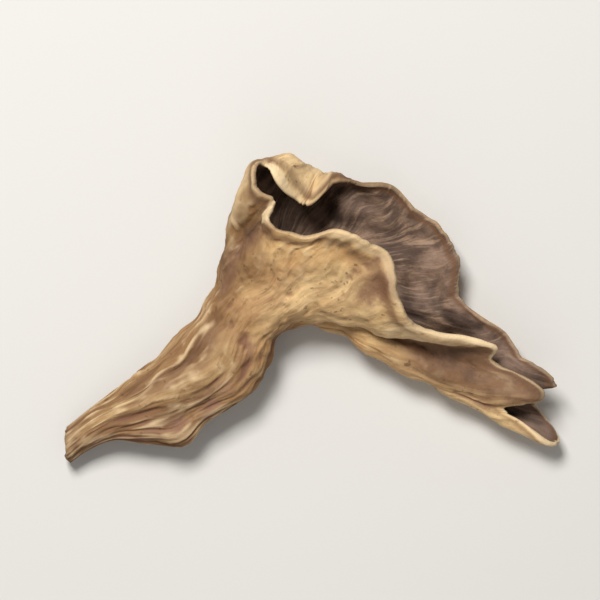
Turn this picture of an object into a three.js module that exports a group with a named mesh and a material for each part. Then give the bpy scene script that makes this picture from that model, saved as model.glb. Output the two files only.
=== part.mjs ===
// A dried black trumpet mushroom lying on its side: one thin hollow funnel, from the torn end of its stem
// to its lobed and rolled rim. Millimetres; +X runs from the stem to the mouth, +Y to the left lobe, +Z up.
import * as THREE from "three";

const { clamp, degToRad, euclideanModulo, lerp, smoothstep } = THREE.MathUtils;

// Thickness of the flesh, and steps along the stem, along the funnel and from rib to rib.
const WALL = 0.9;
const STEM_STEPS = 8;
const FUNNEL_STEPS = 19;
const RIB_STEPS = 4;

// Stem, from its torn end to the neck: its edges are left and right of the X axis, and each widens over a
// stretch of its length. It is lifted at mid-length and at the neck, and sways to the left before the neck.
const STEM_LENGTH = 24.5;
const STEM_SLANT = 1.2;
const STEM_LIFT = 0.9;
const NECK_LIFT = 0.8;
const END_EDGES = [1.1, -1.4];
const END_HALF_HEIGHT = 1.25;
const NECK_EDGES = [1.7, -9];
const NECK_HALF_HEIGHT = 3.1;
const LEFT_WIDENS = [0.4, 1];
const RIGHT_WIDENS = [0.05, 0.95];
const HEIGHT_GROWS = [-0.3, 1.1];
const NECK_NEARBY = 0.98;
const SWAY = 15;
const SWAY_START = 0.75;

// A thin fold that stands out from the stem's right side.
const FOLD_WIDTH = 3;
const FOLD_PLACE = 0.5;
const FOLD_LENGTH = 0.15;

// Ribs of the funnel, from the neck's top over its left side and its bottom to its right side. Turn is the
// rib's place round the neck in degrees. It leaves the neck along the stem for its run, and to the left for
// its way aside, bends by its knee and ends at the rim.
const RIBS = [
  { turn: 0, run: 5, aside: 0.3, knee: [12, -0.5, 10.5], rim: [19.2, 0.5, 14.6] },
  { turn: 22, run: 4, aside: 0, knee: [9.5, 3, 9.8], rim: [14.6, 2.8, 13.4] },
  { turn: 42, run: 3, aside: 0, knee: [8.8, 6.2, 9], rim: [12.9, 6, 12.8] },
  { turn: 60, run: 3, aside: 0, knee: [8.6, 8.8, 7.5], rim: [14.8, 7.7, 13.8] },
  { turn: 78, run: 3, aside: 0, knee: [9.4, 10.3, 5.5], rim: [14.6, 10.4, 13.2] },
  { turn: 98, run: 4, aside: 0, knee: [16, 13.9, 3.5], rim: [16.2, 12.5, 12.6] },
  { turn: 116, run: 6, aside: 0, knee: [26.5, 15, 2], rim: [16.9, 10.4, 12.4] },
  { turn: 132, run: 7, aside: 0, knee: [30.5, 11.5, 0.5], rim: [16.2, 5.8, 10] },
  { turn: 144, run: 7, aside: 0, knee: [29.5, 9, 0], rim: [19.4, 4.6, 8.8] },
  { turn: 155, run: 7, aside: 0.6, knee: [27, 6.5, 0], rim: [22.6, 4.6, 6.6] },
  { turn: 167, run: 7, aside: 1.6, knee: [24.5, 3.5, 0], rim: [25, 3.6, 4.8] },
  { turn: 182, run: 7, aside: 3.2, knee: [24, -1, 0], rim: [27.3, -0.6, 4.4] },
  { turn: 198, run: 8, aside: 4.6, knee: [24.4, -7, 0], rim: [28.8, -6.4, 4.2] },
  { turn: 208, run: 9, aside: 5.4, knee: [23, -10.4, 0], rim: [29, -11.4, 4.4] },
  { turn: 217, run: 10, aside: 6.2, knee: [21.2, -12.8, 0], rim: [26.2, -14.8, 4.4] },
  { turn: 225, run: 11, aside: 6.4, knee: [20, -14.8, 0], rim: [26.2, -19.6, 5.2] },
  { turn: 233, run: 12, aside: 6.8, knee: [19, -17.2, 0], rim: [27, -25, 6] },
  { turn: 241, run: 13, aside: 7.1, knee: [17.2, -19.2, 0], rim: [28.8, -31.8, 5.4] },
  { turn: 248, run: 13, aside: 7.3, knee: [14.6, -19.6, 0.4], rim: [24.6, -32.4, 2.6] },
  { turn: 255, run: 13, aside: 7.4, knee: [12.9, -19.7, 2.3], rim: [24.4, -37.4, 4.2] },
  { turn: 262, run: 13, aside: 7.4, knee: [11.8, -18.9, 4.4], rim: [21.4, -30.4, 5.3] },
  { turn: 270, run: 13, aside: 7.4, knee: [11.1, -17.2, 5.6], rim: [25.4, -31.6, 6.3] },
  { turn: 281, run: 12, aside: 7, knee: [10.9, -13.8, 6.3], rim: [26.2, -24, 7.8] },
  { turn: 295, run: 10, aside: 5.6, knee: [11.4, -10.4, 7.2], rim: [21, -16.4, 9.4] },
  { turn: 313, run: 8, aside: 3.6, knee: [12.5, -7.2, 9], rim: [19.2, -11.4, 13] },
  { turn: 336, run: 6, aside: 1.4, knee: [13, -4.2, 10.5], rim: [21.8, -4.4, 14.2] },
];

// Long creases of the shrunken flesh, the last one the groove of the right arm: turn and half-width in
// degrees at the near and the far end, reach along the stem, 0 to 1, and the funnel, 1 to 2, and depth. They
// fade in and out about the ends of their reach, and their lines wander by a few degrees.
const CREASES = [
  { turns: [25, 30], spreads: [22, 18], reach: [0.3, 1.1], depth: 0.6 },
  { turns: [322, 330], spreads: [22, 18], reach: [0.35, 1], depth: 0.5 },
  { turns: [60, 47], spreads: [24, 15], reach: [1.15, 2.05], depth: 0.65 },
  { turns: [140, 135], spreads: [22, 18], reach: [0.35, 1.1], depth: 0.5 },
  { turns: [215, 205], spreads: [24, 20], reach: [0.35, 1.05], depth: 0.4 },
  { turns: [280, 279], spreads: [7, 7], reach: [1.6, 2.05], depth: 1.3 },
];
const FADE_IN = [-0.15, 0.2];
const FADE_OUT = [-0.25, 0.1];
const WANDER = 3;
const WANDER_RATE = 7;

// Round swellings: on the shoulder below the arm, and on the right of the neck.
const SWELLINGS = [
  { at: [14, -13.6, 6], spread: 2.8, height: 0.7 },
  { at: [2.4, -6.4, 6], spread: 2.2, height: 0.6 },
];

// The rim over the stem turns out to a lip: the middle of the lip and its half-width in degrees.
const LIP_HEIGHT = 0.7;
const LIP_START = 1.84;
const LIP_TURN = 0;
const LIP_SPREAD = 65;

// Waves of the rim, growing towards it, and the low lumps all over.
const RUFFLES = [
  { count: 7, height: 0.42, phase: 1 },
  { count: 11, height: 0.28, phase: 3 },
];
const RUFFLE_START = 1.35;
const LUMP_HEIGHT = 0.35;
const LUMP_LENGTH = 8;
const LUMPS_GROWN = 0.6;

// Raggedness of the rim and its tears, as shares of a rib's length.
const TATTERS = [
  { count: 9, depth: 0.012, phase: 2 },
  { count: 17, depth: 0.012, phase: 5 },
];
const TEARS = [
  { turn: 33, spread: 6, depth: 0.03 },
  { turn: 277, spread: 3, depth: 0.075 },
];

// It lies on the stem's end and on two low spots, below the left lobe and below the right arm. The rest of
// the underside is clear of the ground. Flesh counts as underside by how far it faces down.
const LOW_SPOTS = [
  [16.5, 4.6],
  [19.4, -20.6],
];
const LOW_SPOT_FLAT = 2.2;
const LOW_SPOT_REACH = 5.5;
const CLEARANCE = 0.5;
const SOFTNESS = 0.5;
const FACES_DOWN = [0.2, 0.7];

const COLUMNS = RIBS.length * RIB_STEPS;
const ROWS = STEM_STEPS + FUNNEL_STEPS;

const closedCurve = (points) => new THREE.CatmullRomCurve3(points, true, "catmullrom", 0.5);
const evenTurn = 360 / RIBS.length;
const turnRunAside = (rib, i) => new THREE.Vector3(rib.turn - i * evenTurn, rib.run, rib.aside);
const leavings = closedCurve(RIBS.map(turnRunAside));
const knees = closedCurve(RIBS.map((rib) => new THREE.Vector3(...rib.knee)));
const rim = closedCurve(RIBS.map((rib) => new THREE.Vector3(...rib.rim)));

const turnAt = (around) => 360 * around + leavings.getPoint(around).x;
const turnsApart = (a, b) => euclideanModulo(a - b + 180, 360) - 180;
const bell = (distance, spread) => Math.exp(-((distance / spread) ** 2));

function stemPoint(share, angle) {
  const left = lerp(END_EDGES[0], NECK_EDGES[0], smoothstep(share, ...LEFT_WIDENS));
  const right = lerp(END_EDGES[1], NECK_EDGES[1], smoothstep(share, ...RIGHT_WIDENS));
  const halfHeight = lerp(END_HALF_HEIGHT, NECK_HALF_HEIGHT, smoothstep(share, ...HEIGHT_GROWS));
  const fold = FOLD_WIDTH * bell(share - FOLD_PLACE, FOLD_LENGTH) * Math.max(-Math.sin(angle), 0) ** 2;
  const sway = SWAY * Math.max(share - SWAY_START, 0) ** 2;
  const lift = STEM_LIFT * Math.sin(Math.PI * share) + NECK_LIFT * share;
  return new THREE.Vector3(
    (STEM_SLANT * Math.sin(angle) - STEM_LENGTH) * (1 - share),
    (left + right) / 2 + ((left - right) / 2) * Math.sin(angle) + sway - fold,
    WALL / 2 + lift + halfHeight * (1 + Math.cos(angle)),
  );
}

// The share of a rib that is left of its full length.
function keptShare(around) {
  let kept = 1;
  for (const tatter of TATTERS) {
    kept -= tatter.depth * Math.sin(2 * Math.PI * tatter.count * around + tatter.phase);
  }
  for (const tear of TEARS) {
    kept -= tear.depth * bell(turnsApart(turnAt(around), tear.turn), tear.spread);
  }
  return kept;
}

// The points of one rib, from the stem's end to the rim, before its flesh is wrinkled.
function smoothRib(around) {
  const angle = degToRad(turnAt(around));
  const points = [];
  for (let i = 0; i <= STEM_STEPS; i++) points.push(stemPoint(i / STEM_STEPS, angle));
  const neck = points[STEM_STEPS];
  const leaving = neck.clone().sub(stemPoint(NECK_NEARBY, angle)).normalize();
  const { y: run, z: aside } = leavings.getPoint(around);
  const start = neck.clone().addScaledVector(leaving, run);
  start.y += aside;
  const curve = new THREE.CubicBezierCurve3(neck, start, knees.getPoint(around), rim.getPoint(around));
  const kept = keptShare(around);
  for (let i = 1; i <= FUNNEL_STEPS; i++) points.push(curve.getPoint((kept * i) / FUNNEL_STEPS));
  return points;
}

// How far the flesh stands out at a point; along runs 0 to 1 over the stem and 1 to 2 over the funnel.
function relief(around, along, { x, y, z }) {
  let height = 0;
  for (const { turns, spreads, reach, depth } of CREASES) {
    const share = clamp((along - reach[0]) / (reach[1] - reach[0]), 0, 1);
    const line = lerp(turns[0], turns[1], share) + WANDER * Math.sin(WANDER_RATE * along + turns[0]);
    const begun = smoothstep(along - reach[0], ...FADE_IN);
    const ended = smoothstep(along - reach[1], ...FADE_OUT);
    const away = turnsApart(turnAt(around), line);
    height -= depth * begun * (1 - ended) * bell(away, lerp(spreads[0], spreads[1], share));
  }
  for (const swelling of SWELLINGS) {
    const [a, b, c] = swelling.at;
    height += swelling.height * bell(Math.hypot(x - a, y - b, z - c), swelling.spread);
  }
  const turnedOut = smoothstep(along, LIP_START, 2) * bell(turnsApart(turnAt(around), LIP_TURN), LIP_SPREAD);
  height += LIP_HEIGHT * turnedOut;
  const grown = smoothstep(along, RUFFLE_START, 2);
  for (const ruffle of RUFFLES) {
    height += grown * ruffle.height * Math.sin(2 * Math.PI * ruffle.count * around + ruffle.phase);
  }
  const pace = (2 * Math.PI) / LUMP_LENGTH;
  const lumpy = LUMP_HEIGHT * smoothstep(along, 0, LUMPS_GROWN);
  height += lumpy * Math.sin(pace * x + z / 2) * Math.sin(pace * y - z / 2 + Math.sin(x / 3));
  return height;
}

// The outward direction at a point of a sheet, from its neighbours.
function outward(sheet, i, j) {
  const before = sheet[j][Math.max(i - 1, 0)];
  const after = sheet[j][Math.min(i + 1, ROWS)];
  const left = sheet[(j + 1) % COLUMNS][i];
  const right = sheet[(j + COLUMNS - 1) % COLUMNS][i];
  return after.clone().sub(before).cross(left.clone().sub(right)).normalize();
}

// The larger of two heights, rounded off where they meet.
function softMax(a, b) {
  return Math.max(a, b) + Math.max(SOFTNESS - Math.abs(a - b), 0) ** 2 / (4 * SOFTNESS);
}

// How far a place on the ground belongs to a low spot, 0 to 1.
function lowness(x, y) {
  const nearest = Math.min(...LOW_SPOTS.map((spot) => Math.hypot(x - spot[0], y - spot[1])));
  return 1 - smoothstep(nearest, LOW_SPOT_FLAT, LOW_SPOT_REACH);
}

// Lowers the underside onto the low spots, and keeps the rest clear of the ground.
function settle(point, facingDown) {
  const low = lowness(point.x, point.y);
  const ground = WALL / 2 + CLEARANCE * (1 - low);
  point.z = softMax(lerp(point.z, ground - SOFTNESS, low * facingDown), ground);
}

// The middle of the wall: the smooth ribs moved out and in, and settled on the ground.
const smooth = Array.from({ length: COLUMNS }, (_, j) => smoothRib(j / COLUMNS));
const middle = smooth.map((rib, j) =>
  rib.map((point, i) => {
    const along = i <= STEM_STEPS ? i / STEM_STEPS : 1 + (i - STEM_STEPS) / FUNNEL_STEPS;
    const out = outward(smooth, i, j);
    const moved = point.clone().addScaledVector(out, relief(j / COLUMNS, along, point));
    if (i > STEM_STEPS) settle(moved, smoothstep(-out.z, ...FACES_DOWN));
    return moved;
  }),
);

// Two faces half a wall either side of the middle, closed at the rim and at the stem's end.
function mushroomGeometry() {
  const positions = [];
  for (const side of [1, -1])
    for (let i = 0; i <= ROWS; i++)
      for (let j = 0; j < COLUMNS; j++) {
        const point = middle[j][i].clone().addScaledVector(outward(middle, i, j), (side * WALL) / 2);
        positions.push(point.x, point.y, point.z);
      }
  const outer = (i, j) => i * COLUMNS + (j % COLUMNS);
  const inner = (i, j) => (ROWS + 1) * COLUMNS + outer(i, j);
  const index = [];
  const quad = (a, b, c, d) => index.push(a, b, c, a, c, d);
  for (let j = 0; j < COLUMNS; j++) {
    for (let i = 0; i < ROWS; i++) {
      quad(outer(i, j), outer(i + 1, j), outer(i + 1, j + 1), outer(i, j + 1));
      quad(inner(i + 1, j + 1), inner(i + 1, j), inner(i, j), inner(i, j + 1));
    }
    quad(outer(ROWS, j), inner(ROWS, j), inner(ROWS, j + 1), outer(ROWS, j + 1));
    quad(outer(0, j + 1), inner(0, j + 1), inner(0, j), outer(0, j));
  }
  const geometry = new THREE.BufferGeometry();
  geometry.setAttribute("position", new THREE.Float32BufferAttribute(positions, 3));
  geometry.setIndex(index);
  geometry.computeBoundingBox();
  const { min, max } = geometry.boundingBox;
  return geometry.translate(-(min.x + max.x) / 2, -(min.y + max.y) / 2, -min.z);
}

const driedFlesh = new THREE.MeshStandardMaterial({ color: 0xb99669, roughness: 0.85, metalness: 0 });
const mushroom = new THREE.Mesh(mushroomGeometry(), driedFlesh);
mushroom.name = "mushroom";

const group = new THREE.Group();
group.add(mushroom);
export default group;
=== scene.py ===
from math import radians, tau

import bmesh
import bpy
import numpy as np
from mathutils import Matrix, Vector, noise


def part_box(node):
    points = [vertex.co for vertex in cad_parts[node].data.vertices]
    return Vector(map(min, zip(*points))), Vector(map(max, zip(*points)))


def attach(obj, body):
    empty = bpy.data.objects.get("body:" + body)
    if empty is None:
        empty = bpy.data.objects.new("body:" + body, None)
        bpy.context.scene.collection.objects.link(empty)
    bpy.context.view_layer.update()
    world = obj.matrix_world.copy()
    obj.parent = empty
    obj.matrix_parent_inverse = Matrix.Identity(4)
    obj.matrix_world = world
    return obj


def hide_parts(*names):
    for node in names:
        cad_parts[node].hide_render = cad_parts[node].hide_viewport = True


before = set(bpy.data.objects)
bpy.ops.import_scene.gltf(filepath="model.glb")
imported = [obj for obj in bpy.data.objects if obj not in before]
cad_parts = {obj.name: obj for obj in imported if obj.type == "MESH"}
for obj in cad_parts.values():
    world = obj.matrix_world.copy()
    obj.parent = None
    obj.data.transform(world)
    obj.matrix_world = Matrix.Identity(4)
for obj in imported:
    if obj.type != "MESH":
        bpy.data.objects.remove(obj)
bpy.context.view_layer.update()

# A dried black trumpet mushroom lying on its side: one thin hollow funnel, from the torn end of its stem to
# its lobed and rolled rim. It is worked out in millimetres: +X runs from the stem to the mouth, +Y to the
# left lobe, +Z up. Its ribs run lengthwise. A rib's turn is its place round the neck in degrees, from the
# top over the left side. A place along it is 0 to 1 on the stem and 1 to 2 on the funnel.
MM = 0.001

# Steps of the skin round the mushroom, along its stem and along its funnel.
COLUMNS = 416
STEM_ROWS = 34
FUNNEL_ROWS = 72
ROWS = STEM_ROWS + FUNNEL_ROWS

# Thickness of the flesh and of its torn rim, the way over which it thins, and the round of torn edges.
WALL = 0.9
RIM_WALL = 0.5
RIM_TAPER = 3
EDGE_ROUND = 0.14

# Stem, from its torn end to the neck: its edges are left and right of the X axis, and each widens over a
# stretch of its length. It is lifted at mid-length and at the neck, and sways to the left before the neck.
STEM_LENGTH = 24.5
STEM_SLANT = 1.2
STEM_LIFT = 0.9
NECK_LIFT = 0.8
END_EDGES = (1.1, -1.4)
END_HALF_HEIGHT = 1.25
NECK_EDGES = (1.7, -9)
NECK_HALF_HEIGHT = 3.1
LEFT_WIDENS = (0.4, 1)
RIGHT_WIDENS = (0.05, 0.95)
HEIGHT_GROWS = (-0.3, 1.1)
NECK_NEARBY = 0.98
SWAY = 15
SWAY_START = 0.75

# A thin fold that stands out from the stem's right side.
FOLD_WIDTH = 3
FOLD_PLACE = 0.5
FOLD_LENGTH = 0.15

# Ribs of the funnel, as turn, run along the stem, way aside, knee and rim. A rib leaves the neck along the
# stem for its run, and to the left for its way aside, bends by its knee and ends at the rim.
RIBS = (
    (0, 5, 0.3, (12, -0.5, 10.5), (19.2, 0.5, 14.6)),
    (22, 4, 0, (9.5, 3, 9.8), (14.6, 2.8, 13.4)),
    (42, 3, 0, (8.8, 6.2, 9), (12.9, 6, 12.8)),
    (60, 3, 0, (8.6, 8.8, 7.5), (14.8, 7.7, 13.8)),
    (78, 3, 0, (9.4, 10.3, 5.5), (14.6, 10.4, 13.2)),
    (98, 4, 0, (16, 13.9, 3.5), (16.2, 12.5, 12.6)),
    (116, 6, 0, (26.5, 15, 2), (16.9, 10.4, 12.4)),
    (132, 7, 0, (30.5, 11.5, 0.5), (16.2, 5.8, 10)),
    (144, 7, 0, (29.5, 9, 0), (19.4, 4.6, 8.8)),
    (155, 7, 0.6, (27, 6.5, 0), (22.6, 4.6, 6.6)),
    (167, 7, 1.6, (24.5, 3.5, 0), (25, 3.6, 4.8)),
    (182, 7, 3.2, (24, -1, 0), (27.3, -0.6, 4.4)),
    (198, 8, 4.6, (24.4, -7, 0), (28.8, -6.4, 4.2)),
    (208, 9, 5.4, (23, -10.4, 0), (29, -11.4, 4.4)),
    (217, 10, 6.2, (21.2, -12.8, 0), (26.2, -14.8, 4.4)),
    (225, 11, 6.4, (20, -14.8, 0), (26.2, -19.6, 5.2)),
    (233, 12, 6.8, (19, -17.2, 0), (27, -25, 6)),
    (241, 13, 7.1, (17.2, -19.2, 0), (28.8, -31.8, 5.4)),
    (248, 13, 7.3, (14.6, -19.6, 0.4), (24.6, -32.4, 2.6)),
    (255, 13, 7.4, (12.9, -19.7, 2.3), (24.4, -37.4, 4.2)),
    (262, 13, 7.4, (11.8, -18.9, 4.4), (21.4, -30.4, 5.3)),
    (270, 13, 7.4, (11.1, -17.2, 5.6), (25.4, -31.6, 6.3)),
    (281, 12, 7, (10.9, -13.8, 6.3), (26.2, -24, 7.8)),
    (295, 10, 5.6, (11.4, -10.4, 7.2), (21, -16.4, 9.4)),
    (313, 8, 3.6, (12.5, -7.2, 9), (19.2, -11.4, 13)),
    (336, 6, 1.4, (13, -4.2, 10.5), (21.8, -4.4, 14.2)),
)

# Long creases of the shrunken flesh, the last one the groove of the right arm, as turns and half-widths in
# degrees at the near and the far end, reach along the mushroom, and depth. They fade in and out about the
# ends of their reach, and their lines wander by a few degrees.
CREASES = (
    ((25, 30), (22, 18), (0.3, 1.1), 0.6),
    ((322, 330), (22, 18), (0.35, 1), 0.5),
    ((60, 47), (24, 15), (1.15, 2.05), 0.65),
    ((140, 135), (22, 18), (0.35, 1.1), 0.5),
    ((215, 205), (24, 20), (0.35, 1.05), 0.4),
    ((280, 279), (7, 7), (1.6, 2.05), 1.3),
)
FADE_IN = (-0.15, 0.2)
FADE_OUT = (-0.25, 0.1)
WANDER = 3
WANDER_RATE = 7

# Round swellings on the shoulder below the arm and on the right of the neck, as place, spread and height.
SWELLINGS = (((14, -13.6, 6), 2.8, 0.7), ((2.4, -6.4, 6), 2.2, 0.6))

# The rim over the stem turns out to a lip: the middle of the lip and its half-width in degrees.
LIP_HEIGHT = 0.7
LIP_START = 1.84
LIP_TURN = 0
LIP_SPREAD = 65

# Waves of the rim as count, height and phase, growing towards it, and the low lumps all over.
RUFFLES = ((7, 0.42, 1), (11, 0.28, 3))
RUFFLE_START = 1.35
LUMP_HEIGHT = 0.35
LUMP_LENGTH = 8
LUMPS_GROWN = 0.6

# Raggedness of the rim as count, depth and phase, and its tears as turn, spread and depth. A depth is a
# share of a rib's length on the funnel.
TATTERS = ((9, 0.012, 2), (17, 0.012, 5))
TEARS = ((33, 6, 0.03), (277, 3, 0.075))

# It lies on the stem's end and on two low spots, below the left lobe and below the right arm. The rest of
# the underside is clear of the ground. Flesh counts as underside by how far it faces down.
LOW_SPOTS = ((16.5, 4.6), (19.4, -20.6))
LOW_SPOT_FLAT = 2.2
LOW_SPOT_REACH = 5.5
CLEARANCE = 0.5
SOFTNESS = 0.5
FACES_DOWN = (0.2, 0.7)

# Nicks of the rim as closeness, depth and seed. They are deeper on the arm, and few in the calm stretches,
# as turn and spread, by the lip's right end and beside the left lobe's flap. The flap's tip is worn round.
NICKS = ((9, 0.013, 1), (26, 0.01, 2))
ARM_EDGE_TURN = 262
ARM_EDGE_SPREAD = 24
ARM_EDGE_NICKED = 1.2
CALM_STRETCHES = ((287, 9), (149, 12))
CALM = 0.85
FLAP_TIP_TURN = 133
FLAP_TIP_SPREAD = 6
FLAP_TIP_WORN = 0.022

# The stem's end is torn off unevenly: closeness of the nicks, and their depth as a share of the stem.
END_NICKS = 3
END_NICK_DEPTH = 0.016

# Patterns that run lengthwise wander a little from rib to rib, as a share of a turn.
DRIFT = 0.014
DRIFT_LENGTH = 6

# Lengthwise wrinkles of the outside, as closeness round and along the mushroom, seed, and height on the
# smooth part of the funnel and on the shrunken stem. The arm is nearly as shrunken as the stem.
WRINKLES = ((3.4, 2.6, 4, 0.11, 0.24), (9, 6, 5, 0.09, 0.13))
STEM_FADES = (0.8, 1.35)
ARM_TURN = 266
ARM_SPREAD = 20
ARM_BEGINS = (1.4, 1.7)
ARM_SHRUNKEN = 0.7

# Short puckers in from the rim, and low blisters, crinkles and pits all over the outside.
PUCKER_CLOSENESS = (15, 5)
PUCKER_HEIGHT = 0.12
PUCKER_REACH = 2
BLISTER_SIZE = 2.6
BLISTER_HEIGHT = 0.1
CRINKLE_SIZE = 0.7
CRINKLE_HEIGHT = 0.05
PIT_SIZE = 0.9
PIT_DEPTH = 0.22
PIT_SCARCITY = 0.25

# Dents on the right of the neck.
DENT_PLACE = (0.5, -5, 6)
DENT_SPREAD = 4.5
DENT_SIZE = 1.5
DENT_DEPTH = 0.4
DENT_SCARCITY = -0.1

# Fine fibres and low veins of the inside, as closeness round and along the mushroom, seed and height, and
# its low unevenness. The bore of the stem is smooth.
INNER_RIDGES = ((17, 9, 8, 0.06), (6, 7, 9, 0.12))
INNER_LUMP_SIZE = 1.7
INNER_LUMP_HEIGHT = 0.08
BORE_END = 0.9

# Relief is low at the rim, full a little way from it, and grows off the ground. Its crests are cut low.
OUTER_RELIEF_AT_RIM = 0.35
INNER_RELIEF_AT_RIM = 0.3
RELIEF_FULL = 1.5
OFF_GROUND = (0.1, 1)
OUTER_CREST = 0.25
INNER_CREST = 0.2

# The flesh thins where it bends so tightly that it would fold over itself: outside in the start of the arm's
# groove, and inside in the bend of the flap's edge and in the fold of the stem.
OUTER_BENDS = ((13.4, -10.8, 6.2),)
INNER_BENDS = ((16, 12.2, 12.2), (-12.4, -7.7, 3.7))
BEND_SPREAD = 1.5
BEND_THINS = 0.7

# Creases sharper than this are eased, except at the rim and at the stem's end.
SHARP_FOLD = radians(75)
EASING = 0.5
EASING_PASSES = 6
CRISP_END = 0.04

# Where the torn edge is palest, as turn, spread, width of the pale line and strength: on the lip over the
# stem and its left end, on the flap of the left lobe, and thinly on the arm. The pale line is partly the
# edge's own paler colour and partly painted highlight.
PALE_EDGES = ((340, 42, 1.4, 0.4), (53, 9, 2, 1), (116, 15, 1.5, 1), (287, 14, 0.7, 1), (258, 12, 0.7, 0.8))
THIN_LINE = 0.4

# Painted highlights on the outside, as turn, spread, place along, length and strength: on the flap of the
# left lobe, on the middle of the front wall, on top of the stem, on the right flank of the front wall, on
# the shoulder below the arm, on the lower ridge of the arm, by the lip's left end, and on the left of the
# stem.
HIGHLIGHT_PATCHES = (
    (122, 28, 2, 0.35, 1.75),
    (340, 30, 1.5, 0.25, 0.6),
    (8, 14, 0.5, 0.4, 0.8),
    (320, 12, 1.85, 0.22, 1),
    (298, 10, 1.55, 0.2, 0.8),
    (256, 8, 1.8, 0.4, 1.1),
    (53, 9, 1.97, 0.1, 1.6),
    (76, 10, 0.5, 0.4, 0.8),
)

# Where painted shade lies: outside in the creases and the arm's groove, inside in the throat and the arm.
GROOVE_TURN = 275
GROOVE_SPREAD = 11
GROOVE_BEGINS = (1.56, 1.78)
GROOVE_SHADE_STRENGTH = 0.9
THROAT_ENDS = (1.2, 1.75)
GUTTER_TURN = 256
GUTTER_SPREAD = 22
GUTTER_SHADE_STRENGTH = 0.7

# Patterns of the finish that lie all over, as how many to a metre, detail and roughness.
CLOUDS = (105, 3, 0.5)
MOTTLES = (270, 5, 0.6)
MAUVE_PATCHES = (190, 4, 0.6)
SPECKS = (1100, 2, 0.5)
INNER_PATCHES = (210, 5, 0.6)
GRAIN = (2600, 3, 0.6)

# Patterns of the finish that run lengthwise, as closeness round and along, detail and roughness.
BANDS = (2.6, 1.1, 3, 0.5)
STREAKS = (6, 2.4, 5, 0.6)
FINE_STREAKS = (17, 6, 4, 0.6)
FIBRES = (30, 7, 5, 0.65)

# Tones of the outside, as 0 to 255 of red, green and blue.
TAN = (186, 143, 92)
GOLD = (218, 181, 126)
CLOUD_BROWN = (160, 118, 78)
# Painted shade on the left wall.
LEFT_WALL_SHADE = (100, 66, 26)
STEM_BROWN = (126, 91, 57)
STEM_END_BROWN = (92, 60, 42)
MAUVE = (148, 108, 98)
# Painted shade in the creases and the arm's groove, deep and lighter tones.
GROOVE_SHADE_DEEP = (74, 52, 42)
GROOVE_SHADE_LIGHT = (122, 90, 70)
# Painted highlight on the given patches of the outside.
HIGHLIGHT_GOLD = (234, 200, 148)
BAND_BROWN = (122, 86, 56)
STREAK_BROWN = (106, 72, 44)
FINE_STREAK_BROWN = (122, 84, 48)
SPECK_BROWN = (92, 60, 38)
# Painted shade in the low places of the relief outside.
FURROW_SHADE = (118, 80, 60)
# Painted highlight on the crests of the relief.
CREST_HIGHLIGHT = (236, 206, 160)

# Tones of the inside, of the torn edge and of the floor.
INNER_BROWN = (84, 64, 52)
INNER_TAN = (152, 122, 98)
FIBRE_TAN = (182, 150, 122)
INNER_MAUVE = (122, 102, 96)
# Painted shade in the low places of the relief inside.
INNER_FURROW_SHADE = (62, 46, 38)
# Painted shade, down to charcoal, deep in the throat and in the arm's gutter.
THROAT_SHADE_CHARCOAL = (52, 40, 35)
# Painted shade line below the torn edge.
EDGE_SHADE = (108, 74, 48)
# Pale line on the torn edge, partly its own colour and partly painted highlight.
EDGE_CREAM = (236, 208, 164)
FLOOR_TONE = (212, 209, 203)

# Dullness of the skin, as its roughness where it is dark and how much more where it is pale, its sheen, and
# the strength and height of its grain.
ROUGHNESS = 0.58
PALE_ROUGHER = 0.3
SHEEN = 0.32
GRAIN_STRENGTH = 0.7
GRAIN_HEIGHT = 0.2

# Middle of the picture, in the ribs' own place, and the turn of the picture about it.
PICTURE_MIDDLE = (9.8, -3.7)
PICTURE_TURN = radians(-38)

# Floor, lights and camera in metres, and the camera's lens in millimetres. A light is its size, its power in
# watts and its way from the picture's middle.
FLOOR_SIZE = 1.5
FLOOR_DROP = 0.0001
FLOOR_ROUGHNESS = 0.9
KEY_LIGHT = (0.16, 2.75, (0.06, 0.24, 0.42))
FILL_LIGHT = (0.5, 0.55, (-0.3, -0.25, 0.4))
ROOM_LIGHT = 0.2
CAMERA_HEIGHT = 0.42
CAMERA_LENS = 200


def lerp(a, b, share):
    return a + (b - a) * share


def smoothstep(value, low, high):
    share = np.clip((value - low) / (high - low), 0, 1)
    return share * share * (3 - 2 * share)


def bell(distance, spread):
    return np.exp(-((distance / spread) ** 2))


def turns_apart(a, b):
    return (a - b + 180) % 360 - 180


def closed_curve(points, around):
    """Points of a smooth closed curve through a few points, at shares of its way round."""
    points = np.array(points, float)
    position = around * len(points)
    first = np.floor(position).astype(int)
    share = (position - first)[:, None]
    a, b, c, d = (points[(first + step) % len(points)] for step in (-1, 0, 1, 2))
    leave = (c - a) / 2
    arrive = (d - b) / 2
    bend = 3 * (c - b) - 2 * leave - arrive
    return b + leave * share + bend * share**2 + (2 * (b - c) + leave + arrive) * share**3


def rough(points, seed):
    """Smooth noise, about -1 to 1, at an array of points."""
    gain = 1.6
    seed_apart = np.array((37.2, 11.9, 53.4))
    flat = (points + seed_apart * seed).reshape(-1, 3).tolist()
    return gain * np.array([noise.noise(point) for point in flat]).reshape(points.shape[:-1])


# The skin's own grid: ribs round the mushroom, rows along it.
around = np.arange(COLUMNS) / COLUMNS
stem_shares = np.linspace(0, 1, STEM_ROWS + 1)
funnel_shares = np.linspace(0, 1, FUNNEL_ROWS + 1)[1:]
along = np.concatenate((stem_shares, 1 + funnel_shares))[:, None]

even_turn = 360 / len(RIBS)
leavings = closed_curve([(rib[0] - i * even_turn, *rib[1:3]) for i, rib in enumerate(RIBS)], around)
turn = 360 * around + leavings[:, 0]
angle = np.radians(turn)


def near_turn(at, spread):
    """How near each rib is to a turn, 0 to 1."""
    return bell(turns_apart(turn, at), spread)


def near_place(sheet, at, spread):
    """How near each point of a sheet is to a place, 0 to 1."""
    return bell(np.linalg.norm(sheet - at, axis=2), spread)


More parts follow.
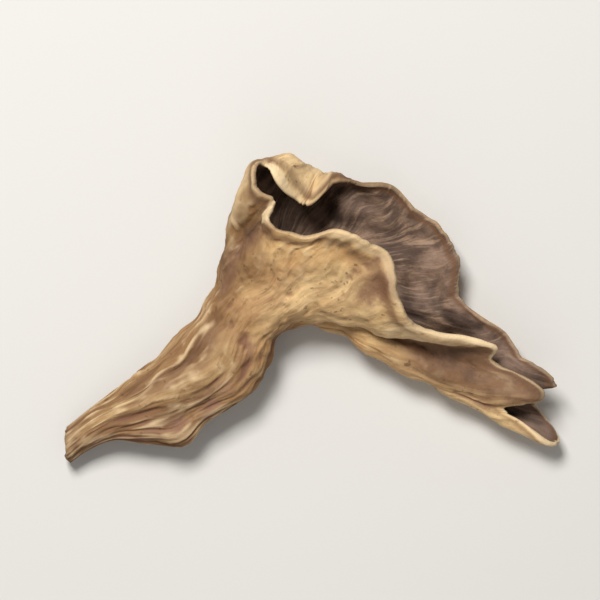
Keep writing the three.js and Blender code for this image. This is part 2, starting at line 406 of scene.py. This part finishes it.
def stem_point(share):
    """Points of all ribs at a share of the stem."""
    left = lerp(END_EDGES[0], NECK_EDGES[0], smoothstep(share, *LEFT_WIDENS))
    right = lerp(END_EDGES[1], NECK_EDGES[1], smoothstep(share, *RIGHT_WIDENS))
    half_height = lerp(END_HALF_HEIGHT, NECK_HALF_HEIGHT, smoothstep(share, *HEIGHT_GROWS))
    fold = FOLD_WIDTH * bell(share - FOLD_PLACE, FOLD_LENGTH) * np.maximum(-np.sin(angle), 0) ** 2
    sway = SWAY * np.maximum(share - SWAY_START, 0) ** 2
    lift = STEM_LIFT * np.sin(np.pi * share) + NECK_LIFT * share
    x = (STEM_SLANT * np.sin(angle) - STEM_LENGTH) * (1 - share)
    y = (left + right) / 2 + (left - right) / 2 * np.sin(angle) + sway - fold
    z = WALL / 2 + lift + half_height * (1 + np.cos(angle))
    return np.stack(np.broadcast_arrays(x, y, z), axis=-1)


def smooth_sheet(kept, torn):
    """The smooth ribs: each keeps a share of its funnel, and a share of its stem is torn off."""
    stem = stem_point(lerp(torn, 1, stem_shares[:, None]))
    neck = stem[-1]
    leaving = neck - stem_point(np.array(NECK_NEARBY))
    leaving /= np.linalg.norm(leaving, axis=1, keepdims=True)
    start = neck + leaving * leavings[:, 1:2]
    start[:, 1] += leavings[:, 2]
    knee = closed_curve([rib[3] for rib in RIBS], around)
    rim = closed_curve([rib[4] for rib in RIBS], around)
    t = (funnel_shares[:, None] * kept)[:, :, None]
    funnel = neck * (1 - t) ** 3 + 3 * start * t * (1 - t) ** 2 + 3 * knee * t**2 * (1 - t) + rim * t**3
    return np.concatenate((stem, funnel))


def kept_share():
    """The share of each rib that is left of its full length."""
    kept = np.ones(COLUMNS)
    for count, depth, phase in TATTERS:
        kept -= depth * np.sin(tau * count * around + phase)
    for at, spread, depth in TEARS:
        kept -= depth * near_turn(at, spread)
    return kept


def creases():
    height = np.zeros((ROWS + 1, COLUMNS))
    for turns, spreads, reach, depth in CREASES:
        share = np.clip((along - reach[0]) / (reach[1] - reach[0]), 0, 1)
        line = lerp(turns[0], turns[1], share) + WANDER * np.sin(WANDER_RATE * along + turns[0])
        begun = smoothstep(along - reach[0], *FADE_IN)
        ended = smoothstep(along - reach[1], *FADE_OUT)
        height -= depth * begun * (1 - ended) * near_turn(line, lerp(spreads[0], spreads[1], share))
    return height


def swellings(sheet):
    return sum(height * near_place(sheet, at, spread) for at, spread, height in SWELLINGS)


def lip():
    return LIP_HEIGHT * smoothstep(along, LIP_START, 2) * near_turn(LIP_TURN, LIP_SPREAD)


def ruffles():
    waves = sum(height * np.sin(tau * count * around + phase) for count, height, phase in RUFFLES)
    return waves * smoothstep(along, RUFFLE_START, 2)


def lumps(sheet):
    x, y, z = np.moveaxis(sheet, 2, 0)
    pace = tau / LUMP_LENGTH
    waves = np.sin(pace * x + z / 2) * np.sin(pace * y - z / 2 + np.sin(x / 3))
    return LUMP_HEIGHT * smoothstep(along, 0, LUMPS_GROWN) * waves


def outward(sheet):
    """The outward direction at each point of a sheet."""
    lengthwise = np.gradient(sheet, axis=0)
    crosswise = np.roll(sheet, -1, axis=1) - np.roll(sheet, 1, axis=1)
    out = np.cross(lengthwise, crosswise)
    return out / np.linalg.norm(out, axis=2, keepdims=True)


def settle(sheet, out):
    """Lowers the funnel onto the low spots, and keeps the rest clear of the ground."""
    x, y, z = np.moveaxis(sheet, 2, 0)
    nearest = np.minimum.reduce([np.hypot(x - spot[0], y - spot[1]) for spot in LOW_SPOTS])
    low = 1 - smoothstep(nearest, LOW_SPOT_FLAT, LOW_SPOT_REACH)
    ground = WALL / 2 + CLEARANCE * (1 - low)
    facing_down = smoothstep(-out[:, :, 2], *FACES_DOWN)
    lowered = lerp(z, ground - SOFTNESS, low * facing_down)
    near = np.maximum(SOFTNESS - np.abs(lowered - ground), 0)
    settled = np.maximum(lowered, ground) + near**2 / (4 * SOFTNESS)
    sheet[:, :, 2] = np.where(along > 1, settled, z)


def wrinkled_sheet(kept, torn):
    """The middle of the wall: the smooth ribs moved out and in, and settled on the ground."""
    smooth = smooth_sheet(kept, torn)
    out = outward(smooth)
    height = creases() + swellings(smooth) + lip() + ruffles() + lumps(smooth)
    sheet = smooth + out * height[:, :, None]
    settle(sheet, out)
    return sheet


def way_to_box(sheet):
    """The way from the ribs' own place to the mushroom's box in the frame."""
    half_wall = outward(sheet) * WALL / 2
    faces = np.concatenate((sheet + half_wall, sheet - half_wall))
    lowest = faces.min(axis=(0, 1))
    highest = faces.max(axis=(0, 1))
    low_corner, high_corner = (np.array(corner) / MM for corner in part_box("mushroom"))
    way = (low_corner + high_corner) / 2 - (lowest + highest) / 2
    way[2] = low_corner[2] - lowest[2]
    return way


# The wall without its nicks gives the mushroom's place, and the drift of the lengthwise patterns.
plain = wrinkled_sheet(kept_share(), np.zeros(COLUMNS))
to_box = way_to_box(plain)
drift = DRIFT * rough(plain / DRIFT_LENGTH, seed=11)


def ring(closeness, step):
    """Every point of the skin laid out on a plain tube, for patterns that run lengthwise."""
    angles = tau * (around + drift)
    height = np.broadcast_to(along * step, angles.shape)
    return np.stack((closeness * np.cos(angles), closeness * np.sin(angles), height), axis=2)


def ridges(closeness, step, seed):
    """Lengthwise ridges, 1 on their crests and lower between them."""
    return 1 - 2 * np.abs(rough(ring(closeness, step), seed))


rim_circle = np.stack((np.cos(tau * around), np.sin(tau * around), np.zeros(COLUMNS)), axis=1)


def nicks():
    """The share of each rib that is nicked away at the rim."""
    depths = sum(depth * rough(rim_circle * closeness, seed) for closeness, depth, seed in NICKS)
    depths *= 1 + ARM_EDGE_NICKED * near_turn(ARM_EDGE_TURN, ARM_EDGE_SPREAD)
    depths *= 1 - CALM * np.maximum.reduce([near_turn(*stretch) for stretch in CALM_STRETCHES])
    return np.maximum(depths, 0) + FLAP_TIP_WORN * near_turn(FLAP_TIP_TURN, FLAP_TIP_SPREAD)


def end_nicks():
    """The share of each rib that is torn off at the stem's end."""
    return END_NICK_DEPTH * (1 + rough(rim_circle * END_NICKS, seed=3)) / 2


# The middle of the wall with its nicks, and the way to the rim along each rib.
middle = wrinkled_sheet(kept_share() - nicks(), end_nicks())
out = outward(middle)
rib_steps = np.linalg.norm(np.diff(middle, axis=0), axis=2)
to_rim = np.concatenate((np.cumsum(rib_steps[::-1], axis=0)[::-1], np.zeros((1, COLUMNS))))
inland = smoothstep(to_rim, 0, RELIEF_FULL)


def outer_relief():
    """Wrinkles, puckers, blisters, pits and dents of the outside."""
    on_arm = near_turn(ARM_TURN, ARM_SPREAD) * smoothstep(along, *ARM_BEGINS)
    shrunken = np.maximum(1 - smoothstep(along, *STEM_FADES), ARM_SHRUNKEN * on_arm)
    height = np.zeros((ROWS + 1, COLUMNS))
    for closeness, step, seed, smooth_height, shrunken_height in WRINKLES:
        height += ridges(closeness, step, seed) * lerp(smooth_height, shrunken_height, shrunken)
    puckers = rough(ring(*PUCKER_CLOSENESS), seed=12) * bell(to_rim - PUCKER_REACH, PUCKER_REACH)
    pits = np.maximum(rough(middle / PIT_SIZE, seed=7) - PIT_SCARCITY, 0)
    dents = np.maximum(rough(middle / DENT_SIZE, seed=13) - DENT_SCARCITY, 0)
    height += PUCKER_HEIGHT * puckers - PIT_DEPTH * pits
    height += BLISTER_HEIGHT * rough(middle / BLISTER_SIZE, seed=6)
    height += CRINKLE_HEIGHT * rough(middle / CRINKLE_SIZE, seed=14)
    height -= DENT_DEPTH * dents * near_place(middle, DENT_PLACE, DENT_SPREAD)
    return height * lerp(OUTER_RELIEF_AT_RIM, 1, inland)


def inner_relief():
    """Fibres, veins and low lumps of the inside."""
    height = INNER_LUMP_HEIGHT * rough(middle / INNER_LUMP_SIZE, seed=10)
    for closeness, step, seed, ridge_height in INNER_RIDGES:
        height += ridge_height * ridges(closeness, step, seed)
    return height * lerp(INNER_RELIEF_AT_RIM, 1, inland) * smoothstep(along, 0, BORE_END)


def thinned(bends):
    return 1 - BEND_THINS * sum(near_place(middle, bend, BEND_SPREAD) for bend in bends)


# The two faces of the flesh.
outer_height = outer_relief()
inner_height = inner_relief()
half_wall = lerp(RIM_WALL, WALL, smoothstep(to_rim, 0, RIM_TAPER)) / 2
off_ground = smoothstep(middle[:, :, 2] - WALL / 2, *OFF_GROUND)
outer_step = (half_wall + np.minimum(outer_height, OUTER_CREST) * off_ground) * thinned(OUTER_BENDS)
inner_step = (half_wall + np.minimum(inner_height, INNER_CREST)) * thinned(INNER_BENDS)
outer = middle + out * outer_step[:, :, None] + to_box
inner = middle - out * inner_step[:, :, None] + to_box
outer[:, :, 2] = np.maximum(outer[:, :, 2], 0)


def pale_edge():
    """How pale the torn edge is at each rib, and how wide its pale line."""
    paleness = np.zeros(COLUMNS)
    width = np.full(COLUMNS, THIN_LINE)
    for at, spread, full_width, strength in PALE_EDGES:
        nearness = near_turn(at, spread)
        paleness = np.maximum(paleness, strength * nearness)
        width = np.maximum(width, full_width * nearness)
    return paleness, width


# Where painted highlights lie on the outside.
def highlighting():
    return sum(
        strength * near_turn(at, spread) * bell(along - place, length)
        for at, spread, place, length, strength in HIGHLIGHT_PATCHES
    )


# Where painted shade lies on the outside: in the creases and the arm's groove.
def outer_hollow_shade():
    groove_shade = near_turn(GROOVE_TURN, GROOVE_SPREAD) * smoothstep(along, *GROOVE_BEGINS)
    return np.maximum(-creases(), GROOVE_SHADE_STRENGTH * groove_shade)


# Where painted shade lies on the inside: deep in the throat and in the arm's gutter.
def inner_hollow_shade():
    throat = 1 - smoothstep(along, *THROAT_ENDS)
    return np.maximum(throat, GUTTER_SHADE_STRENGTH * near_turn(GUTTER_TURN, GUTTER_SPREAD))


# What the finish needs to know at every point of the outside and of the inside.
pale_rim, pale_width = pale_edge()
shared_marks = {
    "to_rim": to_rim,
    "along": along,
    "pale_rim": pale_rim,
    "pale_width": pale_width,
    "highlighted": highlighting(),
}
outer_marks = {
    "inside": 0.0,
    "height": outer_height + ruffles() / 2,
    "hollow_shade": outer_hollow_shade(),
    **shared_marks,
}
inner_marks = {
    "inside": 1.0,
    "height": inner_height,
    "hollow_shade": inner_hollow_shade(),
    **shared_marks,
}


def add_face(bm, points, marks):
    """One face of the flesh: a grid rolled into a funnel, with its marks and its way round and along."""
    seam = 1e-7
    made = bmesh.ops.create_grid(bm, x_segments=COLUMNS, y_segments=ROWS, size=1)["verts"]
    layers = [bm.verts.layers.float[name] for name in marks]
    values = np.stack([np.broadcast_to(mark, (ROWS + 1, COLUMNS)) for mark in marks.values()], axis=2)
    way_layer = bm.verts.layers.float_vector["way"]
    way = ring(1, 1)
    for vert in made:
        column = round((vert.co.x + 1) / 2 * COLUMNS) % COLUMNS
        row = round((vert.co.y + 1) / 2 * ROWS)
        vert.co = points[row, column] * MM
        vert[way_layer] = way[row, column]
        for layer, value in zip(layers, values[row, column]):
            vert[layer] = value
    bmesh.ops.remove_doubles(bm, verts=made, dist=seam)


def round_edge(bm, across):
    """Rounds a torn edge: the strip between the two faces is cut along its middle, which is pushed out."""
    cut = bmesh.ops.subdivide_edges(bm, edges=across, cuts=1)["geom_inner"]
    crest = {part for part in cut if isinstance(part, bmesh.types.BMVert)}
    moves = []
    for vert in crest:
        beside = [edge.other_vert(vert) for edge in vert.link_edges]
        pushes = [push_from_face(vert, side) for side in beside if side not in crest]
        moves.append((vert, sum(pushes, Vector()) / len(pushes)))
    for vert, push in moves:
        vert.co += push * EDGE_ROUND * MM


def push_from_face(vert, side):
    """The direction in which a face runs out at its torn edge, from its last points."""
    neighbours = [edge.other_vert(side) for edge in side.link_edges]
    behind = max(neighbours, key=lambda neighbour: (neighbour.co - vert.co).length)
    return (side.co - behind.co).normalized()


def soften_folds(bm):
    """Eases the flesh where a wrinkle is so sharp that it would fold over itself."""
    to_rim_layer = bm.verts.layers.float["to_rim"]
    along_layer = bm.verts.layers.float["along"]
    crisp = {vert for vert in bm.verts if vert[to_rim_layer] < RIM_WALL or vert[along_layer] < CRISP_END}
    for _ in range(EASING_PASSES):
        bm.normal_update()
        folded = {vert for edge in bm.edges if edge.calc_face_angle() > SHARP_FOLD for vert in edge.verts}
        beside = {edge.other_vert(vert) for vert in folded for edge in vert.link_edges}
        eased = list((folded | beside) - crisp)
        bmesh.ops.smooth_vert(
            bm, verts=eased, factor=EASING, use_axis_x=True, use_axis_y=True, use_axis_z=True
        )


def flesh_mesh():
    """The two faces of the flesh, joined by rounded edges at the rim and at the stem's end."""
    bm = bmesh.new()
    for name in outer_marks:
        bm.verts.layers.float.new(name)
    bm.verts.layers.float_vector.new("way")
    add_face(bm, outer, outer_marks)
    add_face(bm, inner, inner_marks)
    inside_layer = bm.verts.layers.float["inside"]
    along_layer = bm.verts.layers.float["along"]
    for at_rim in (True, False):
        open_edges = [edge for edge in bm.edges if edge.is_boundary]
        loops = [edge for edge in open_edges if (edge.verts[0][along_layer] > 1) == at_rim]
        bridge = bmesh.ops.bridge_loops(bm, edges=loops)["edges"]
        across = [edge for edge in bridge if edge.verts[0][inside_layer] != edge.verts[1][inside_layer]]
        round_edge(bm, across)
    bmesh.ops.recalc_face_normals(bm, faces=bm.faces)
    soften_folds(bm)
    mesh = bpy.data.meshes.new("mushroom_flesh")
    bm.to_mesh(mesh)
    bm.free()
    mesh.shade_smooth()
    return mesh


def tone(shade):
    """A colour from its 0 to 255 values."""
    def linear(value):
        value /= 255
        return value / 12.92 if value <= 0.04045 else ((value + 0.055) / 1.055) ** 2.4
    return (*map(linear, shade), 1)


class Wire:
    """A socket of a finish, with arithmetic."""

    def __init__(self, finish, socket):
        self.finish = finish
        self.socket = socket

    def math(self, operation, *values):
        return self.finish.node("ShaderNodeMath", {"operation": operation}, dict(enumerate(values)))

    def __add__(self, other):
        return self.math("ADD", self, other)

    def __sub__(self, other):
        return self.math("SUBTRACT", self, other)

    def __rsub__(self, other):
        return self.math("SUBTRACT", other, self)

    def __mul__(self, other):
        return self.math("MULTIPLY", self, other)

    __radd__ = __add__
    __rmul__ = __mul__


class Finish:
    """A material built from its nodes."""

    def __init__(self, name):
        self.material = bpy.data.materials.new(name)
        self.material.use_nodes = True
        self.tree = self.material.node_tree
        self.shader = self.tree.nodes["Principled BSDF"]

    def node(self, kind, settings=None, values=None, output=0):
        node = self.tree.nodes.new(kind)
        for name, value in (settings or {}).items():
            setattr(node, name, value)
        for key, value in (values or {}).items():
            self.fill(node.inputs[key], value)
        return Wire(self, node.outputs[output])

    def fill(self, socket, value):
        if isinstance(value, Wire):
            self.tree.links.new(value.socket, socket)
        else:
            socket.default_value = value

    def set(self, **values):
        for name, value in values.items():
            self.fill(self.shader.inputs[name.replace("_", " ")], value)

    def attribute(self, name, output="Fac"):
        return self.node("ShaderNodeAttribute", {"attribute_name": name}, output=output)

    def noise(self, vector, scale, detail, roughness):
        values = {"Vector": vector, "Scale": scale, "Detail": detail, "Roughness": roughness}
        return self.node("ShaderNodeTexNoise", values=values)

    def step(self, value, low, high):
        """0 below low and 1 above high, with a soft way between."""
        settings = {"interpolation_type": "SMOOTHSTEP"}
        return self.node("ShaderNodeMapRange", settings, {"Value": value, "From Min": low, "From Max": high})

    def mix(self, share, first, second):
        return self.node("ShaderNodeMix", {"data_type": "RGBA"}, {0: share, 6: first, 7: second}, output=2)

    def stretch(self, vector, amount):
        return self.node("ShaderNodeVectorMath", {"operation": "MULTIPLY"}, {0: vector, 1: amount})


class FleshFinish(Finish):
    """Dried flesh: tan and golden outside, brown inside, both with painted shade, its torn edge pale in
    places.
    """

    def __init__(self):
        super().__init__("dried_flesh")
        self.place = self.node("ShaderNodeTexCoord", output="Object")
        self.way = self.attribute("way", "Vector")
        self.along = self.attribute("along")
        self.height = self.attribute("height")
        self.hollow_shade = self.attribute("hollow_shade")
        self.cloud = self.noise(self.place, *CLOUDS)
        self.mottle = self.noise(self.place, *MOTTLES)
        self.speck = self.noise(self.place, *SPECKS)
        self.fine_streak = self.lengthwise(*FINE_STREAKS)
        colour = self.mix(self.attribute("inside"), self.outside(), self.inside())
        self.set(
            Base_Color=self.torn_edge(colour),
            Roughness=ROUGHNESS + PALE_ROUGHER * self.mottle,
            Specular_IOR_Level=SHEEN,
            Normal=self.skin(),
        )

    def lengthwise(self, closeness, step, detail, roughness):
        """A pattern drawn out along the ribs."""
        return self.noise(self.stretch(self.way, (closeness, closeness, step)), 1, detail, roughness)

    def outside(self):
        """Golden tan clouded with brown, streaked lengthwise, most on the stem, with painted shade on the
        left wall and in its hollows, and painted highlights in places and on its ridges.
        """
        step = self.step
        mix = self.mix
        leftness = self.node("ShaderNodeSeparateXYZ", values={0: self.way}, output=1)
        on_stem = 1 - step(self.along, 0.9, 1.45)
        on_left_wall = step(leftness, 0.1, 0.65) * (1 - 0.7 * on_stem)
        on_stem_right = (1 - step(leftness, -0.7, 0.1)) * on_stem
        clouded = 0.6 * step(self.cloud, 0.44, 0.66)
        # Painted shade on the left wall, less on the stem.
        left_wall_shaded = on_left_wall * (0.6 + 0.5 * self.cloud)
        stained = 0.8 * (1 - step(self.along, 0, 0.3)) * step(self.mottle, 0.3, 0.6)
        mauve = 0.6 * step(self.noise(self.place, *MAUVE_PATCHES), 0.48, 0.64) * on_stem_right
        # Painted shade in the creases and the arm's groove.
        groove_shaded = 0.9 * step(self.hollow_shade, 0.15, 0.8)
        # Painted highlights on the given patches, uneven by the mottle.
        highlighted = self.attribute("highlighted") * (0.15 + 0.8 * self.mottle)
        banded = step(self.lengthwise(*BANDS), 0.46, 0.62) * (0.15 + 0.6 * on_stem)
        streaked = step(self.lengthwise(*STREAKS), 0.5, 0.66) * (0.3 + 0.45 * on_stem)
        finely_streaked = step(self.fine_streak, 0.5, 0.68) * (0.45 + 0.3 * on_left_wall)
        specked = 0.6 * step(self.speck, 0.64, 0.74)
        # Painted shade where the relief is low.
        furrow_shaded = 0.85 * (1 - step(self.height, -0.4, -0.02))
        # Painted highlight on the crests of the relief.
        crest_lit = 0.6 * step(self.height, 0.08, 0.45)

        colour = mix(step(self.mottle, 0.32, 0.66), tone(TAN), tone(GOLD))
        colour = mix(clouded, colour, tone(CLOUD_BROWN))
        colour = mix(left_wall_shaded, colour, tone(LEFT_WALL_SHADE))
        colour = mix(0.65 * on_stem, colour, tone(STEM_BROWN))
        colour = mix(stained, colour, tone(STEM_END_BROWN))
        colour = mix(mauve, colour, tone(MAUVE))
        groove_shade = mix(step(self.mottle, 0.36, 0.62), tone(GROOVE_SHADE_DEEP), tone(GROOVE_SHADE_LIGHT))
        colour = mix(groove_shaded, colour, groove_shade)
        colour = mix(highlighted, colour, tone(HIGHLIGHT_GOLD))
        colour = mix(banded, colour, tone(BAND_BROWN))
        colour = mix(streaked, colour, tone(STREAK_BROWN))
        colour = mix(finely_streaked, colour, tone(FINE_STREAK_BROWN))
        colour = mix(specked, colour, tone(SPECK_BROWN))
        colour = mix(furrow_shaded, colour, tone(FURROW_SHADE))
        return mix(crest_lit, colour, tone(CREST_HIGHLIGHT))

    def inside(self):
        """Brown, mauve in places, paler fibres, painted shade in furrows, throat and the arm's gutter."""
        patched = self.step(self.noise(self.place, *INNER_PATCHES), 0.33, 0.67)
        fibrous = 0.6 * self.step(self.lengthwise(*FIBRES), 0.46, 0.7)
        clouded = 0.45 * self.step(self.cloud, 0.5, 0.66)
        # Painted shade where the relief of the inside is low.
        furrow_shaded = 0.8 * (1 - self.step(self.height, -0.16, 0.03))
        colour = self.mix(patched, tone(INNER_BROWN), tone(INNER_TAN))
        colour = self.mix(fibrous, colour, tone(FIBRE_TAN))
        colour = self.mix(clouded, colour, tone(INNER_MAUVE))
        colour = self.mix(furrow_shaded, colour, tone(INNER_FURROW_SHADE))
        # Painted shade, down to charcoal, in the throat and the arm's gutter.
        return self.mix(0.4 * self.hollow_shade, colour, tone(THROAT_SHADE_CHARCOAL))

    def torn_edge(self, colour):
        """Adds the torn edge, pale in places and partly painted highlight, with a painted shade line below
        it.
        Both are narrower inside.
        """
        pale_rim = self.attribute("pale_rim")
        way_in = self.attribute("to_rim") + 1.2 * (self.mottle - 0.5)
        past_line = way_in * (1 + self.attribute("inside")) - self.attribute("pale_width")
        # Painted shade line below the edge, and the pale line on it, partly painted highlight.
        shade_line = self.step(past_line, -0.1, 0.6) * (1 - self.step(past_line, 0.7, 2.4))
        pale_line = 1 - self.step(past_line, -0.5, 0.1)
        colour = self.mix(shade_line * (0.8 - 0.4 * pale_rim), colour, tone(EDGE_SHADE))
        return self.mix(pale_line * (0.12 + 0.83 * pale_rim), colour, tone(EDGE_CREAM))

    def skin(self):
        """The finest grain of the skin."""
        relief = 0.5 * self.noise(self.place, *GRAIN) + self.fine_streak + 0.5 * self.speck
        values = {"Height": relief, "Strength": GRAIN_STRENGTH, "Distance": GRAIN_HEIGHT * MM}
        return self.node("ShaderNodeBump", values=values)


def add_object(name, data):
    thing = bpy.data.objects.new(name, data)
    bpy.context.scene.collection.objects.link(thing)
    return thing


flesh = add_object("mushroom_flesh", flesh_mesh())
flesh.data.materials.append(FleshFinish().material)
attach(flesh, "root")
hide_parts("mushroom")


def pale_floor():
    mesh = bpy.data.meshes.new("floor")
    bm = bmesh.new()
    bmesh.ops.create_grid(bm, x_segments=1, y_segments=1, size=FLOOR_SIZE)
    bm.to_mesh(mesh)
    bm.free()
    finish = Finish("pale_floor")
    finish.set(Base_Color=tone(FLOOR_TONE), Roughness=FLOOR_ROUGHNESS)
    mesh.materials.append(finish.material)
    floor = add_object("floor", mesh)
    floor.location.z = -FLOOR_DROP
    return floor


pale_floor()

picture_middle = Vector((PICTURE_MIDDLE[0] + to_box[0], PICTURE_MIDDLE[1] + to_box[1], 0)) * MM


def soft_light(name, size, power, way):
    data = bpy.data.lights.new(name, "AREA")
    data.size = size
    data.energy = power
    light = add_object(name, data)
    light.location = picture_middle + Vector(way)
    light.rotation_euler = (-Vector(way)).to_track_quat("-Z", "Y").to_euler()


def room_light():
    world = bpy.data.worlds.new("studio")
    world.use_nodes = True
    background = world.node_tree.nodes["Background"]
    background.inputs["Color"].default_value = (1, 1, 1, 1)
    background.inputs["Strength"].default_value = ROOM_LIGHT
    bpy.context.scene.world = world


def camera_above():
    data = bpy.data.cameras.new("camera")
    data.lens = CAMERA_LENS
    camera = add_object("camera", data)
    camera.location = picture_middle + Vector((0, 0, CAMERA_HEIGHT))
    camera.rotation_euler = (0, 0, PICTURE_TURN)
    return camera


# Soft light from the top of the picture and a weaker one from below it, and a camera straight above.
soft_light("key_light", *KEY_LIGHT)
soft_light("fill_light", *FILL_LIGHT)
room_light()
bpy.context.scene.view_settings.view_transform = "Standard"
bpy.context.scene.camera = camera_above()

bpy.context.view_layer.update()
